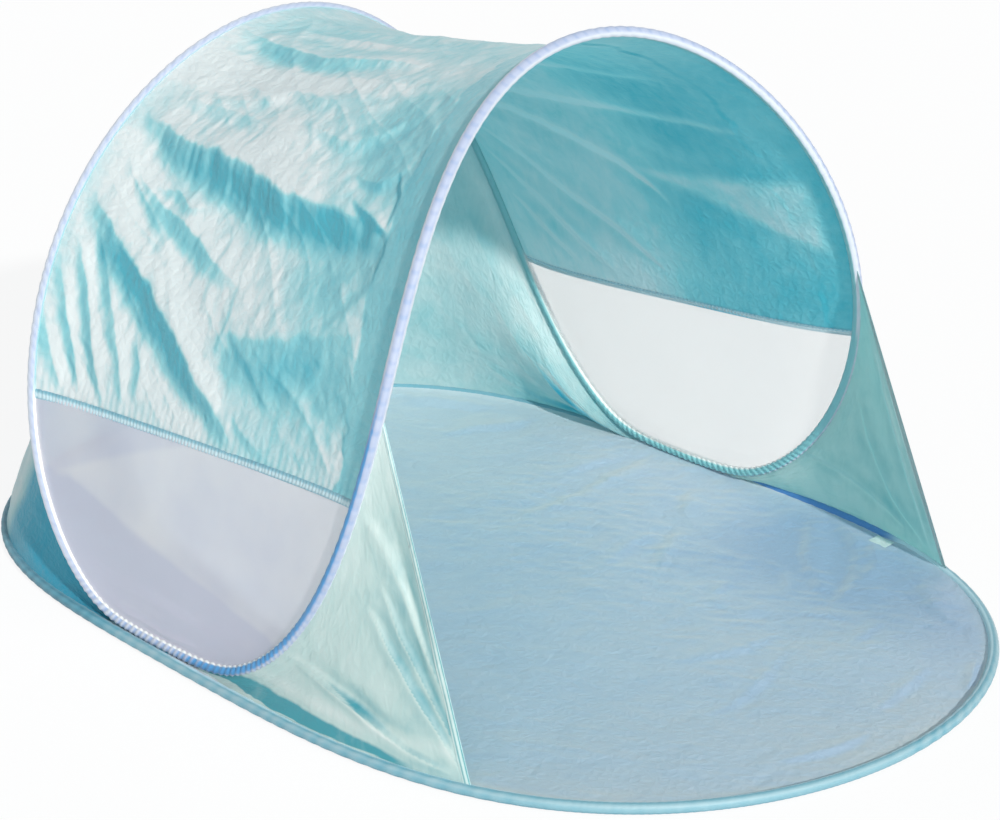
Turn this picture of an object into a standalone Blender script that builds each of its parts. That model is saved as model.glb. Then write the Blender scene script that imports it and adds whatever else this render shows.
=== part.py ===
"""Pop-up beach tent: an oval floor ring and a twisted canopy hoop, both of sprung wire in cloth bindings.

The origin is on the ground under the middle of the floor. The open mouth faces -Y, +X is the tent's
right side seen from behind the camera, and +Z is up. Every piece is laid out on two closed curves,
the rim of the floor and the hoop of the canopy, which are cut into a rear and a front half at the
fold line across the tent.
"""

import math

import bmesh
import bpy
from mathutils import Matrix, Vector

# Floor
FLOOR_LENGTH = 1.900
FLOOR_WIDTH = 1.265
RIM_WIDEST_Y = 0.032
RIM_SIDE_SHARE = 0.120
RIM_END_SHARE = 0.038
GROUNDSHEET_THICKNESS = 0.0015

# Canopy hoop
FRONT_ARCH_HEIGHT = 0.978
REAR_ARCH_HEIGHT = 0.906
FRONT_CROWN_Y = -0.262
REAR_CROWN_Y = 0.489
FOLD_Y = 0.013
ARCH_BOW = 0.122
ARCH_LEAN = 0.0285
ARCH_ROUNDING = 0.005
HOOP_SWELL = 0.012
HOOP_SIDE_SHARE = 0.121
LOW_BEND_DIP = 0.021
LOW_BEND_EASE = 0.030
LOW_BEND_LIFT = 0.0022
HOOP_RIM_GAP = 0.0006

# Bindings and wires
BINDING_WIDTH = 0.018
BINDING_WALL = 0.001
WIRE_DIAMETER = 0.003
FERRULE_WALL = 0.0005
FERRULE_LENGTH = 0.030
CLEARANCE = 0.0004
FOLD_GAP = 0.0006

# Cloth
CLOTH_THICKNESS = 0.0012
CANOPY_SAG = 0.034
REAR_WALL_SAG = 0.018
GUSSET_SAG = 0.010
NARROWEST_CLOTH = 0.009
BAND_WIDTH = 0.013
BAND_THICKNESS = 0.0022
HEM_WIDTH = 0.013
HEM_THICKNESS = 0.0022
ROOF_FOLD_DEPTH = 0.015
ROOF_FOLD_WIDTH = 0.050
WINDOW_FOLD_DEPTH = 0.007
WINDOW_FOLD_WIDTH = 0.036
GUSSET_FOLD_DEPTH = 0.007
GUSSET_FOLD_WIDTH = 0.032

# Tab sewn at the right edge of the groundsheet
TAB_LENGTH = 0.042
TAB_WIDTH = 0.040
TAB_THICKNESS = 0.0012
TAB_RIM_ANGLE = 0.99265
TAB_INSET = 0.0357
TAB_SKEW = math.radians(1.25)

# Stations: each quarter of a curve has this many steps, and a knot ties a station to an angle round its curve
QUARTER = 18
GUSSET_STATION = 9
BAND_STATION = 11
LOW_STATION = 16
GUSSET_TOP_ANGLE = 0.812
GUSSET_FOOT_ANGLE = 0.798
BAND_FRONT_ANGLE = 0.950
BAND_REAR_ANGLE = 0.863
RIM_LOW_FRONT_ANGLE = 1.365
RIM_LOW_REAR_ANGLE = 1.375
TUBE_SIDES = 8
FERRULE_STATION = 13

# Folds: where each starts and ends along and across its cloth, then its depth and its width
ROOF_FOLD_SHARES = (
    (-0.62, 0.92, -0.54, 0.05, -1.0, 1.0),
    (-0.47, 0.88, -0.38, 0.08, 0.8, 1.0),
    (-0.80, 0.92, -0.98, 0.40, -0.8, 0.8),
    (-0.74, 0.80, -0.92, 0.25, 0.7, 0.8),
    (-0.62, 0.34, -0.95, 0.14, -0.5, 0.9),
    (-0.13, 0.86, -0.27, 0.12, -0.5, 1.2),
    (0.06, 0.10, 0.14, 0.88, 0.4, 1.3),
    (0.34, 0.12, 0.58, 0.88, -0.8, 1.0),
    (0.50, 0.08, 0.78, 0.80, 0.7, 1.0),
    (0.74, 0.12, 0.95, 0.66, -0.6, 0.9),
)
WINDOW_FOLD_SHARES = (
    (0.30, 0.95, 0.80, 0.30, -1.0, 1.0),
    (0.55, 0.95, 0.92, 0.45, 0.8, 0.8),
)
GUSSET_FOLD_SHARES = (
    (0.02, 0.96, 0.22, 0.20, -0.8, 1.0),
    (0.04, 0.97, 0.46, 0.42, 1.0, 1.0),
    (0.06, 0.98, 0.74, 0.62, -1.0, 0.9),
)
FOLD_EASE_SHARE = 0.10
PLAIN_FOLDS_SHARES = ()

# Worked out from the sizes above
SLEEVE_RADIUS = BINDING_WIDTH / 2
WIRE_RADIUS = WIRE_DIAMETER / 2
EDGE_REACH = SLEEVE_RADIUS + CLEARANCE
SIDE_COSINE = math.cos(math.pi / TUBE_SIDES)
BORE_RADIUS = SLEEVE_RADIUS * SIDE_COSINE - BINDING_WALL
FERRULE_RADIUS = (WIRE_RADIUS + CLEARANCE + FERRULE_WALL) / SIDE_COSINE
WIRE_SEAT = BORE_RADIUS - CLEARANCE - WIRE_RADIUS
FERRULE_SEAT = BORE_RADIUS - CLEARANCE - FERRULE_RADIUS
RIM_HALF_LENGTH = FLOOR_LENGTH / 2 - SLEEVE_RADIUS
RIM_HALF_WIDTH = FLOOR_WIDTH / 2 - SLEEVE_RADIUS
HOOP_BASE_Z = SLEEVE_RADIUS + LOW_BEND_LIFT
HOOP_MIDDLE_Z = FRONT_ARCH_HEIGHT / 2


def rim_point(angle):
    """The centre line of the rim's binding: angle 0 is the front end, a quarter turn is the right side."""
    x = (1 + RIM_SIDE_SHARE) * math.sin(angle) + RIM_SIDE_SHARE * math.sin(3 * angle)
    y = (1 - RIM_END_SHARE) * math.cos(angle) + RIM_END_SHARE * math.cos(3 * angle)
    shift = RIM_WIDEST_Y / 2 * (1 - math.cos(2 * angle))
    return Vector((RIM_HALF_WIDTH * x, shift - RIM_HALF_LENGTH * y, SLEEVE_RADIUS))


def hoop_point(angle):
    """The centre line of the hoop's binding: angle 0 is the front crown, a half turn the rear crown."""
    half_width = RIM_HALF_WIDTH - BINDING_WIDTH - HOOP_RIM_GAP
    x = (1 + HOOP_SIDE_SHARE) * math.sin(angle) + HOOP_SIDE_SHARE * math.sin(3 * angle)
    x = half_width * x - HOOP_SWELL * math.sin(2 * angle)
    crowns_y = (FRONT_CROWN_Y + REAR_CROWN_Y) / 2
    reach = (FRONT_CROWN_Y - REAR_CROWN_Y) / 2
    y = (crowns_y + FOLD_Y) / 2 + (crowns_y - FOLD_Y) / 2 * math.cos(2 * angle)
    y += (reach - ARCH_BOW) * math.cos(angle) + ARCH_BOW * math.cos(3 * angle)
    front = FRONT_ARCH_HEIGHT - SLEEVE_RADIUS - HOOP_BASE_Z
    rear = REAR_ARCH_HEIGHT - SLEEVE_RADIUS - HOOP_BASE_Z
    mean = (front + rear) / 2
    height = (mean - LOW_BEND_DIP) / 2 + ARCH_ROUNDING
    height += ((front - rear) / 2 + ARCH_LEAN) * math.cos(angle)
    height += (mean + LOW_BEND_DIP) / 2 * math.cos(2 * angle)
    height -= ARCH_LEAN * math.cos(3 * angle) + ARCH_ROUNDING * math.cos(4 * angle)
    eased = (height + math.hypot(height, LOW_BEND_EASE)) / 2
    return Vector((x, y, HOOP_BASE_Z + eased))


def between_knots(station, knots):
    """The value at a station, on straight runs between (station, value) knots."""
    for (first, low), (last, high) in zip(knots, knots[1:]):
        if station <= last:
            return low + (high - low) * (station - first) / (last - first)
    return knots[-1][1]


def front_arch_angle(station):
    knots = (
        (0, 0),
        (GUSSET_STATION, GUSSET_TOP_ANGLE),
        (BAND_STATION, BAND_FRONT_ANGLE),
        (QUARTER, math.pi / 2),
    )
    return math.copysign(between_knots(abs(station), knots), station)


def rear_arch_angle(station):
    knots = ((0, 0), (BAND_STATION, BAND_REAR_ANGLE), (QUARTER, math.pi / 2))
    return math.pi - math.copysign(between_knots(abs(station), knots), station)


def front_rim_angle(station):
    knots = (
        (0, 0),
        (GUSSET_STATION, GUSSET_FOOT_ANGLE),
        (LOW_STATION, RIM_LOW_FRONT_ANGLE),
        (QUARTER, math.pi / 2),
    )
    return math.copysign(between_knots(abs(station), knots), station)


def rear_rim_angle(station):
    knots = ((0, 0), (LOW_STATION, RIM_LOW_REAR_ANGLE), (QUARTER, math.pi / 2))
    return math.pi - math.copysign(between_knots(abs(station), knots), station)


def half_curve(point_at, angle_at, towards):
    """Half of a closed curve, left to right. Its ends run straight and square to the cut at the fold line."""
    points = [point_at(angle_at(station)) for station in range(1 - QUARTER, QUARTER)]
    side = point_at(math.pi / 2)
    for run in (SLEEVE_RADIUS, 0):
        y = FOLD_Y + towards * (FOLD_GAP / 2 + run)
        points.insert(0, Vector((-side.x, y, side.z)))
        points.append(Vector((side.x, y, side.z)))
    return points


FRONT, REAR = -1, 1
RIM_FRONT = half_curve(rim_point, front_rim_angle, FRONT)
RIM_REAR = half_curve(rim_point, rear_rim_angle, REAR)
ARCH_FRONT = half_curve(hoop_point, front_arch_angle, FRONT)
ARCH_REAR = half_curve(hoop_point, rear_arch_angle, REAR)
FOLD_AXIS = Vector((0, FOLD_Y, hoop_point(math.pi / 2).z + EDGE_REACH))


def along(curve, station):
    """The place on a half curve at a station, which may lie between two of its points."""
    place = station + QUARTER + 1
    low = min(int(place), len(curve) - 2)
    return curve[low].lerp(curve[low + 1], place - low)


def heading(curve, station):
    return (along(curve, station + 0.25) - along(curve, station - 0.25)).normalized()


def binding_edge(curve, station, towards):
    """The place just outside a binding where a cloth that runs towards another point is sewn on."""
    centre = along(curve, station)
    tangent = heading(curve, station)
    out = towards - centre
    out -= tangent * out.dot(tangent)
    return centre + out.normalized() * EDGE_REACH


def smooth(value):
    value = min(max(value, 0), 1)
    return value * value * (3 - 2 * value)


def fold_height(shares, spot, size, depth, width):
    """How far the cloth is lifted by its folds at a spot given in shares of its two sizes."""
    total = 0
    for start_along, start_across, end_along, end_across, depth_share, width_share in shares:
        start = Vector((start_along * size.x, start_across * size.y))
        end = Vector((end_along * size.x, end_across * size.y))
        here = Vector((spot[0] * size.x, spot[1] * size.y))
        run = end - start
        share = (here - start).dot(run) / run.length_squared
        nearest = start + run * min(max(share, 0), 1)
        gap = (here - nearest).length / (width * width_share)
        total += depth * depth_share * math.exp(-gap * gap)
    return total


def ruled_point(first, second, station, across, lift):
    """A point on the cloth between two half curves, moved off the straight line by lift along its normal."""
    start = binding_edge(first, station, along(second, station))
    end = binding_edge(second, station, along(first, station))
    down = heading(first, station).lerp(heading(second, station), across)
    normal = down.cross(end - start).normalized()
    return start.lerp(end, across) + normal * lift


def curve_length(curve, last):
    steps = range(last)
    return sum((along(curve, step + 1) - along(curve, step)).length for step in steps)


ROOF_HALF_ARC = (curve_length(ARCH_FRONT, BAND_STATION) + curve_length(ARCH_REAR, BAND_STATION)) / 2
ROOF_SIZE = Vector((ROOF_HALF_ARC, REAR_CROWN_Y - FRONT_CROWN_Y))
BAND_STEP = (along(ARCH_FRONT, BAND_STATION + 1) - along(ARCH_FRONT, BAND_STATION)).length
BAND_START = BAND_STATION + CLEARANCE / BAND_STEP
BAND_END = BAND_START + BAND_WIDTH / BAND_STEP
WINDOW_START = BAND_END + CLEARANCE / BAND_STEP
WINDOW_END = QUARTER - 1
WINDOW_SIZE = Vector((along(ARCH_FRONT, BAND_STATION).z, ROOF_SIZE.y))


def canopy_sag(station, across):
    """The cloth dips between the arches: steeply beside each hoop, flat in the middle, least at the floor."""
    share = 1 - (station / QUARTER) ** 2
    profile = 1 - (1 - 4 * across * (1 - across)) ** 2
    return -CANOPY_SAG * share * profile


def edge_ease(across):
    return smooth(across / FOLD_EASE_SHARE) * smooth((1 - across) / FOLD_EASE_SHARE)


def roof_point(down, across):
    share = 2 * down - 1
    station = share * BAND_STATION
    folds = fold_height(ROOF_FOLD_SHARES, (share, across), ROOF_SIZE, ROOF_FOLD_DEPTH, ROOF_FOLD_WIDTH)
    folds *= edge_ease(across) * smooth((1 - abs(share)) / FOLD_EASE_SHARE)
    return ruled_point(ARCH_FRONT, ARCH_REAR, station, across, canopy_sag(station, across) + folds)


def side_panel_point(side, first_station, last_station, fold_shares):
    """The point function of a cloth on one side of the canopy, between two stations below the roof."""

    def point(down, across):
        station = first_station + (last_station - first_station) * down
        spot = (down, across)
        folds = fold_height(fold_shares, spot, WINDOW_SIZE, WINDOW_FOLD_DEPTH, WINDOW_FOLD_WIDTH)
        folds *= edge_ease(across) * edge_ease(down)
        lift = canopy_sag(station, across) + folds
        return ruled_point(ARCH_FRONT, ARCH_REAR, side * station, across, lift)

    return point


def cloth_width(upper, lower, station):
    """The width of cloth between the bindings of two half curves at a station."""
    across = along(lower, station) - along(upper, station)
    tangent = heading(upper, station)
    across -= tangent * across.dot(tangent)
    return across.length - 2 * EDGE_REACH


def last_wide_station(upper, lower):
    """The station towards the fold line where the cloth has narrowed to the least that can be sewn."""
    station = QUARTER - 1
    while station > 1 and cloth_width(upper, lower, station) < NARROWEST_CLOTH:
        station -= 1
    wide, narrow = station, station + 1
    for _ in range(12):
        middle = (wide + narrow) / 2
        if cloth_width(upper, lower, middle) < NARROWEST_CLOTH:
            narrow = middle
        else:
            wide = middle
    return wide


REAR_WALL_END = last_wide_station(ARCH_REAR, RIM_REAR)
REAR_WALL_STEPS = math.ceil(REAR_WALL_END)
GUSSET_END = last_wide_station(ARCH_FRONT, RIM_FRONT)
GUSSET_STEPS = math.ceil(GUSSET_END) - GUSSET_STATION
GUSSET_WIDTH = curve_length(RIM_FRONT, QUARTER) - curve_length(RIM_FRONT, GUSSET_STATION)
GUSSET_SIZE = Vector((GUSSET_WIDTH, along(ARCH_FRONT, GUSSET_STATION).z))


def rear_wall_point(down, across):
    station = (2 * down - 1) * REAR_WALL_STEPS
    station = min(max(station, -REAR_WALL_END), REAR_WALL_END)
    lift = -REAR_WALL_SAG * 4 * across * (1 - across) * (1 - (station / QUARTER) ** 2)
    return ruled_point(ARCH_REAR, RIM_REAR, station, across, lift)


def gusset_line(side, station, across, lift):
    """A point of a gusset before room is made for its hem."""
    return ruled_point(RIM_FRONT, ARCH_FRONT, side * station, 1 - across, lift)


def gusset_inset(side, across, inset):
    """A point this far in from the gusset's free edge, measured along the cloth."""
    edge = gusset_line(side, GUSSET_STATION, across, 0)
    inner = gusset_line(side, GUSSET_STATION + 0.5, across, 0)
    return edge + (inner - edge).normalized() * inset


def gusset_point(side):
    def point(down, across):
        if down == 0:
            return gusset_inset(side, across, HEM_WIDTH + CLEARANCE)
        station = min(GUSSET_STATION + GUSSET_STEPS * down, GUSSET_END)
        lift = fold_height(
            GUSSET_FOLD_SHARES, (down, across), GUSSET_SIZE, GUSSET_FOLD_DEPTH, GUSSET_FOLD_WIDTH
        )
        lift -= GUSSET_SAG * 4 * across * (1 - across)
        lift *= edge_ease(across) * edge_ease(down)
        return gusset_line(side, station, across, lift)

    return point


def hem_point(side):
    def point(down, across):
        return gusset_inset(side, across, HEM_WIDTH * down)

    return point


# Scene, collections and materials
for old in list(bpy.data.objects):
    bpy.data.objects.remove(old, do_unlink=True)

tent = bpy.data.collections.new("Pop-up beach tent")
bpy.context.scene.collection.children.link(tent)

fold_axis = bpy.data.objects.new("fold_axis", None)
fold_axis.location = FOLD_AXIS
tent.objects.link(fold_axis)


def finish(obj, name, colour, roughness, metallic=0.0, folds=False):
    """Name the piece, give it its own material and, where it folds up with the front, its parent."""
    obj.name = name
    obj.data.name = name
    material = bpy.data.materials.new(name)
    material.use_nodes = True
    shader = material.node_tree.nodes["Principled BSDF"]
    shader.inputs["Base Color"].default_value = (*colour, 1.0)
    shader.inputs["Roughness"].default_value = roughness
    shader.inputs["Metallic"].default_value = metallic
    obj.data.materials.clear()
    obj.data.materials.append(material)
    if obj.name not in tent.objects:
        tent.objects.link(obj)
    if folds:
        obj.parent = fold_axis
        obj.matrix_parent_inverse.translation = -FOLD_AXIS
    return obj


STEEL = (0.42, 0.43, 0.45)
AQUA = (0.20, 0.52, 0.62)
WHITE = (0.80, 0.83, 0.92)
SHEET_BLUE = (0.35, 0.50, 0.65)
MINT = (0.36, 0.64, 0.67)
WINDOW_GREY = (0.62, 0.62, 0.70)
BAND_BLUE = (0.24, 0.50, 0.66)
HEM_MINT = (0.50, 0.76, 0.76)


def path_curve(name, points, radius, resolution, capped):
    """A tube along a path, as a bevelled poly curve."""
    curve = bpy.data.curves.new(name, "CURVE")
    curve.dimensions = "3D"
    curve.bevel_depth = radius
    curve.bevel_resolution = resolution
    curve.use_fill_caps = capped
    spline = curve.splines.new("POLY")
    spline.points.add(len(points) - 1)
    for spot, point in zip(spline.points, points):
        spot.co = (*point, 1)
    return bpy.data.objects.new(name, curve)


def hollow_tube(name, points, radius, wall):
    """An open tube with a real wall, made from the curve's evaluated surface."""
    guide = path_curve(name + "_path", points, radius, TUBE_SIDES // 2 - 2, False)
    tent.objects.link(guide)
    graph = bpy.context.evaluated_depsgraph_get()
    mesh = bpy.data.meshes.new_from_object(guide.evaluated_get(graph))
    bpy.data.objects.remove(guide, do_unlink=True)
    shape = bmesh.new()
    shape.from_mesh(mesh)
    bmesh.ops.remove_doubles(shape, verts=shape.verts, dist=CLEARANCE / 4)
    bmesh.ops.recalc_face_normals(shape, faces=shape.faces)
    shape.to_mesh(mesh)
    shape.free()
    mesh.shade_smooth()
    obj = bpy.data.objects.new(name, mesh)
    shell = obj.modifiers.new("wall", "SOLIDIFY")
    shell.thickness = wall
    shell.offset = -1
    shell.use_even_offset = True
    return obj


def cloth(name, point_at, rows, columns, thickness):
    """A sheet laid on a point function of two shares, given its thickness evenly on both sides."""
    mesh = bpy.data.meshes.new(name)
    shape = bmesh.new()
    bmesh.ops.create_grid(shape, x_segments=rows, y_segments=columns, size=0.5)
    for vert in shape.verts:
        down = round((vert.co.x + 0.5) * rows) / rows
        across = round((vert.co.y + 0.5) * columns) / columns
        vert.co = point_at(down, across)
    shape.to_mesh(mesh)
    shape.free()
    mesh.shade_smooth()
    obj = bpy.data.objects.new(name, mesh)
    shell = obj.modifiers.new("thickness", "SOLIDIFY")
    shell.thickness = thickness
    shell.offset = 0
    return obj


def groundsheet(name, curve):
    """A flat sheet inside half of the rim, whose upper edge meets the underside of the rim's binding."""
    drop = SLEEVE_RADIUS - GROUNDSHEET_THICKNESS
    inset = math.sqrt(EDGE_REACH * EDGE_REACH - drop * drop)
    sheet = bpy.data.curves.new(name, "CURVE")
    sheet.dimensions = "2D"
    sheet.fill_mode = "BOTH"
    sheet.extrude = GROUNDSHEET_THICKNESS / 2
    spline = sheet.splines.new("POLY")
    spline.points.add(len(curve) - 1)
    spline.use_cyclic_u = True
    last = len(curve) - 1
    for place, spot in enumerate(spline.points):
        tangent = curve[min(place + 1, last)] - curve[max(place - 1, 0)]
        out = Vector((tangent.y, -tangent.x, 0)).normalized()
        if out.dot(curve[place]) < 0:
            out = -out
        edge = curve[place] - out * inset
        if place in (0, last):
            edge.y = curve[place].y
        spot.co = (edge.x, edge.y, 0, 1)
    obj = bpy.data.objects.new(name, sheet)
    obj.location = (0, 0, GROUNDSHEET_THICKNESS / 2)
    return obj


def wire_path(curve, middle, eased=()):
    """A wire inside its binding: it pushes outwards against the cloth, and sits further in at its ferrule."""
    path = []
    last = len(curve) - 1
    for place, centre in enumerate(curve):
        tangent = (curve[min(place + 1, last)] - curve[max(place - 1, 0)]).normalized()
        if place <= 1 or place >= last - 1:
            tangent = Vector((0, 1, 0))
        out = centre - middle
        out -= tangent * out.dot(tangent)
        seat = FERRULE_SEAT if place in eased else WIRE_SEAT
        path.append(centre + out.normalized() * seat)
    return path


def ferrule(name, path, place):
    """A short crimped tube round the wire, in the middle of one straight run of its path."""
    start, end = path[place], path[place + 1]
    mesh = bpy.data.meshes.new(name)
    shape = bmesh.new()
    bmesh.ops.create_cone(
        shape,
        cap_ends=False,
        segments=TUBE_SIDES,
        radius1=FERRULE_RADIUS,
        radius2=FERRULE_RADIUS,
        depth=FERRULE_LENGTH,
    )
    bmesh.ops.recalc_face_normals(shape, faces=shape.faces)
    shape.to_mesh(mesh)
    shape.free()
    mesh.shade_smooth()
    obj = bpy.data.objects.new(name, mesh)
    obj.location = (start + end) / 2
    obj.rotation_mode = "QUATERNION"
    obj.rotation_quaternion = (end - start).to_track_quat("Z", "Y")
    shell = obj.modifiers.new("wall", "SOLIDIFY")
    shell.thickness = FERRULE_WALL
    shell.offset = -1
    shell.use_even_offset = True
    return obj


# Sprung wires and the ferrules that close their loops
ferrule_place = QUARTER + 1 + FERRULE_STATION
floor_middle = Vector((0, 0, SLEEVE_RADIUS))
hoop_middle = Vector((0, FOLD_Y, HOOP_MIDDLE_Z))
ferrule_ends = (ferrule_place, ferrule_place + 1)
floor_wire = wire_path(RIM_REAR, floor_middle, ferrule_ends)
canopy_wire = wire_path(ARCH_REAR, hoop_middle, ferrule_ends)
for name, path, folds in (
    ("floor_wire_rear", floor_wire, False),
    ("floor_wire_front", wire_path(RIM_FRONT, floor_middle), True),
    ("canopy_wire_rear", canopy_wire, False),
    ("canopy_wire_front", wire_path(ARCH_FRONT, hoop_middle), True),
):
    finish(path_curve(name, path, WIRE_RADIUS, 1, True), name, STEEL, 0.35, 0.9, folds)
for name, path in (("floor_wire_ferrule", floor_wire), ("canopy_wire_ferrule", canopy_wire)):
    finish(ferrule(name, path, ferrule_place), name, STEEL, 0.45, 0.8)

# Bindings
for name, curve, colour, folds in (
    ("floor_sleeve_rear", RIM_REAR, AQUA, False),
    ("floor_sleeve_front", RIM_FRONT, AQUA, True),
    ("canopy_sleeve_rear", ARCH_REAR, WHITE, False),
    ("canopy_sleeve_front", ARCH_FRONT, WHITE, True),
):
    finish(hollow_tube(name, curve, SLEEVE_RADIUS, BINDING_WALL), name, colour, 0.6, 0.0, folds)

# Floor
finish(groundsheet("groundsheet_rear", RIM_REAR), "groundsheet_rear", SHEET_BLUE, 0.7)
finish(groundsheet("groundsheet_front", RIM_FRONT), "groundsheet_front", SHEET_BLUE, 0.7, 0.0, True)

# Canopy between the two arches
roof = cloth("canopy_roof", roof_point, 4 * BAND_STATION, 12, CLOTH_THICKNESS)
finish(roof, "canopy_roof", MINT, 0.4)
for side, word in ((-1, "left"), (1, "right")):
    band = side_panel_point(side, BAND_START, BAND_END, PLAIN_FOLDS_SHARES)
    panel = cloth("window_band_" + word, band, 1, 12, BAND_THICKNESS)
    finish(panel, "window_band_" + word, BAND_BLUE, 0.6)
    window = side_panel_point(side, WINDOW_START, WINDOW_END, WINDOW_FOLD_SHARES)
    rows = 2 * (WINDOW_END - BAND_STATION)
    panel = cloth("window_" + word, window, rows, 8, CLOTH_THICKNESS)
    finish(panel, "window_" + word, WINDOW_GREY, 0.5)

# Rear wall, and the gussets at the mouth with their hems
wall = cloth("rear_wall", rear_wall_point, 2 * REAR_WALL_STEPS, 6, CLOTH_THICKNESS)
finish(wall, "rear_wall", MINT, 0.4)
for side, word in ((-1, "left"), (1, "right")):
    rows = 2 * GUSSET_STEPS
    panel = cloth("gusset_" + word, gusset_point(side), rows, 10, CLOTH_THICKNESS)
    finish(panel, "gusset_" + word, MINT, 0.4, 0.0, True)
    panel = cloth("gusset_hem_" + word, hem_point(side), 1, 10, HEM_THICKNESS)
    finish(panel, "gusset_hem_" + word, HEM_MINT, 0.5, 0.0, True)

# Tab lying on the groundsheet, with its long side along the rim
rim_heading = rim_point(TAB_RIM_ANGLE + 0.001) - rim_point(TAB_RIM_ANGLE - 0.001)
inwards = Vector((-rim_heading.y, rim_heading.x, 0)).normalized()
tab_middle = rim_point(TAB_RIM_ANGLE) + inwards * TAB_INSET
tab_middle.z = GROUNDSHEET_THICKNESS + CLEARANCE + TAB_THICKNESS / 2
bpy.ops.mesh.primitive_cube_add(size=1)
tab = bpy.context.object
tab.data.transform(Matrix.Diagonal((TAB_LENGTH, TAB_WIDTH, TAB_THICKNESS, 1)))
tab.rotation_euler = (0, 0, math.atan2(rim_heading.y, rim_heading.x) + TAB_SKEW)
tab.location = tab_middle
for owner in list(tab.users_collection):
    owner.objects.unlink(tab)
finish(tab, "floor_tab", HEM_MINT, 0.6, 0.0, True)
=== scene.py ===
"""The looks of the pop-up beach tent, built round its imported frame.

Every cloth is laid on the two closed curves of the sprung wires: the rim of the floor and the hoop of
the canopy. Angles run round a curve from the front, past the right side, to the rear. A station is a
place on a quarter of a curve, from 0 at a crown or an end to 18 at the low bend or the side.
"""

import math
from functools import partial

import bpy
import numpy as np
from mathutils import Matrix, Vector


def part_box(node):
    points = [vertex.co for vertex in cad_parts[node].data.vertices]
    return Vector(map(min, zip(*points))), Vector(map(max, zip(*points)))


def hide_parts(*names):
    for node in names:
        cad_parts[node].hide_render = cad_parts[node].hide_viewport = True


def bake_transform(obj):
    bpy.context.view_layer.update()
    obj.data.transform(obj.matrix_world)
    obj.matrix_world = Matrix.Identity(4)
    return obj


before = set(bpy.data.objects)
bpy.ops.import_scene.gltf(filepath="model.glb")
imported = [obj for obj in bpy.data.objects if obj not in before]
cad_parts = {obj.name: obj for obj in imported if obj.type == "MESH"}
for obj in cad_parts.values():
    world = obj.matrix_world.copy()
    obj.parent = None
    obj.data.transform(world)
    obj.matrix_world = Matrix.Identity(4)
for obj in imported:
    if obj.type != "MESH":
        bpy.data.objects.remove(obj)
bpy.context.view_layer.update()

# Sizes of the curves and the cloths, as in the frame
BINDING_RADIUS = 0.009
WIRE_RADIUS = 0.0015
FLOOR_HALF = (0.6235, 0.941)
RIM_WIDEST_Y = 0.032
RIM_SIDE = 0.12
RIM_END = 0.038
CROWNS_Y = (-0.262, 0.489)
ARCH_HEIGHTS = (0.978, 0.906)
FOLD_Y = 0.013
ARCH_BOW = 0.122
ARCH_LEAN = 0.0285
ARCH_ROUNDING = 0.005
HOOP_HALF = FLOOR_HALF[0] - 2 * BINDING_RADIUS - 0.0006
HOOP_SIDE = 0.121
HOOP_SWELL = 0.012
LOW_DIP = 0.021
LOW_EASE = 0.03
LOW_BASE = 0.0112
QUARTER = 18
SEWN = 0.0062
CANOPY_SAG = 0.034
REAR_WALL_SAG = 0.018
GUSSET_SAG = 0.01
SEAM = 11.0
SEAM_CLOTH = (10.96, 11.15)
GUSSET_EDGE = 9.0
HEM = 0.013

# Sizes of the looks: the canopy's length for a station, its width at the low bends and what a crown adds
STATION_LENGTH = 0.0775
CANOPY_WIDTH, CROWN_WIDTH = 0.76, 0.1

# The angles round the hoop between which a window reaches it, and the middle of the right window
WINDOW_ENDS = (0.95, 2.28)
WINDOW_MIDDLE = (0.6, 0.1, 0.27)

# How far the groundsheet ends inside the rim's curve, and how wide its raised edge is
SHEET_INSET = 0.0045
SHEET_EDGE = 0.026

# Painted light falls from this way: cloth turned towards it is painted paler than cloth that lies in a hollow
PAINTED_LIGHT_FROM = np.array([-0.35, -0.75, 0.56])


# Curves and surfaces


def column(*parts):
    return np.stack(np.broadcast_arrays(*parts), -1)


def grid(first, second):
    """Places on a grid, from a (start, end, count) along its rows and one along its columns."""
    return np.meshgrid(np.linspace(*first), np.linspace(*second), indexing="ij")


def running(steps):
    """How far along each place is, from the steps between the places."""
    return np.concatenate([[0], np.cumsum(steps)])


def unit(v):
    return v / np.maximum(np.linalg.norm(v, axis=-1, keepdims=True), 1e-12)


def dot(a, b):
    return (a * b).sum(-1, keepdims=True)


def rim(t):
    x = FLOOR_HALF[0] * ((1 + RIM_SIDE) * np.sin(t) + RIM_SIDE * np.sin(3 * t))
    y = FLOOR_HALF[1] * ((1 - RIM_END) * np.cos(t) + RIM_END * np.cos(3 * t))
    return column(x, RIM_WIDEST_Y / 2 * (1 - np.cos(2 * t)) - y, BINDING_RADIUS)


def hoop(t):
    x = HOOP_HALF * ((1 + HOOP_SIDE) * np.sin(t) + HOOP_SIDE * np.sin(3 * t)) - HOOP_SWELL * np.sin(2 * t)
    middle, reach = sum(CROWNS_Y) / 2, (CROWNS_Y[0] - CROWNS_Y[1]) / 2
    y = (middle + FOLD_Y) / 2 + (middle - FOLD_Y) / 2 * np.cos(2 * t)
    y = y + (reach - ARCH_BOW) * np.cos(t) + ARCH_BOW * np.cos(3 * t)
    front, rear = (height - BINDING_RADIUS - LOW_BASE for height in ARCH_HEIGHTS)
    mean = (front + rear) / 2
    z = (mean - LOW_DIP) / 2 + ARCH_ROUNDING + ((front - rear) / 2 + ARCH_LEAN) * np.cos(t)
    z = z + (mean + LOW_DIP) / 2 * np.cos(2 * t) - ARCH_LEAN * np.cos(3 * t)
    z = z - ARCH_ROUNDING * np.cos(4 * t)
    return column(x, y, LOW_BASE + (z + np.hypot(z, LOW_EASE)) / 2)


def heading(curve, t, step=1e-4):
    return unit(curve(t + step) - curve(t - step))


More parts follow.
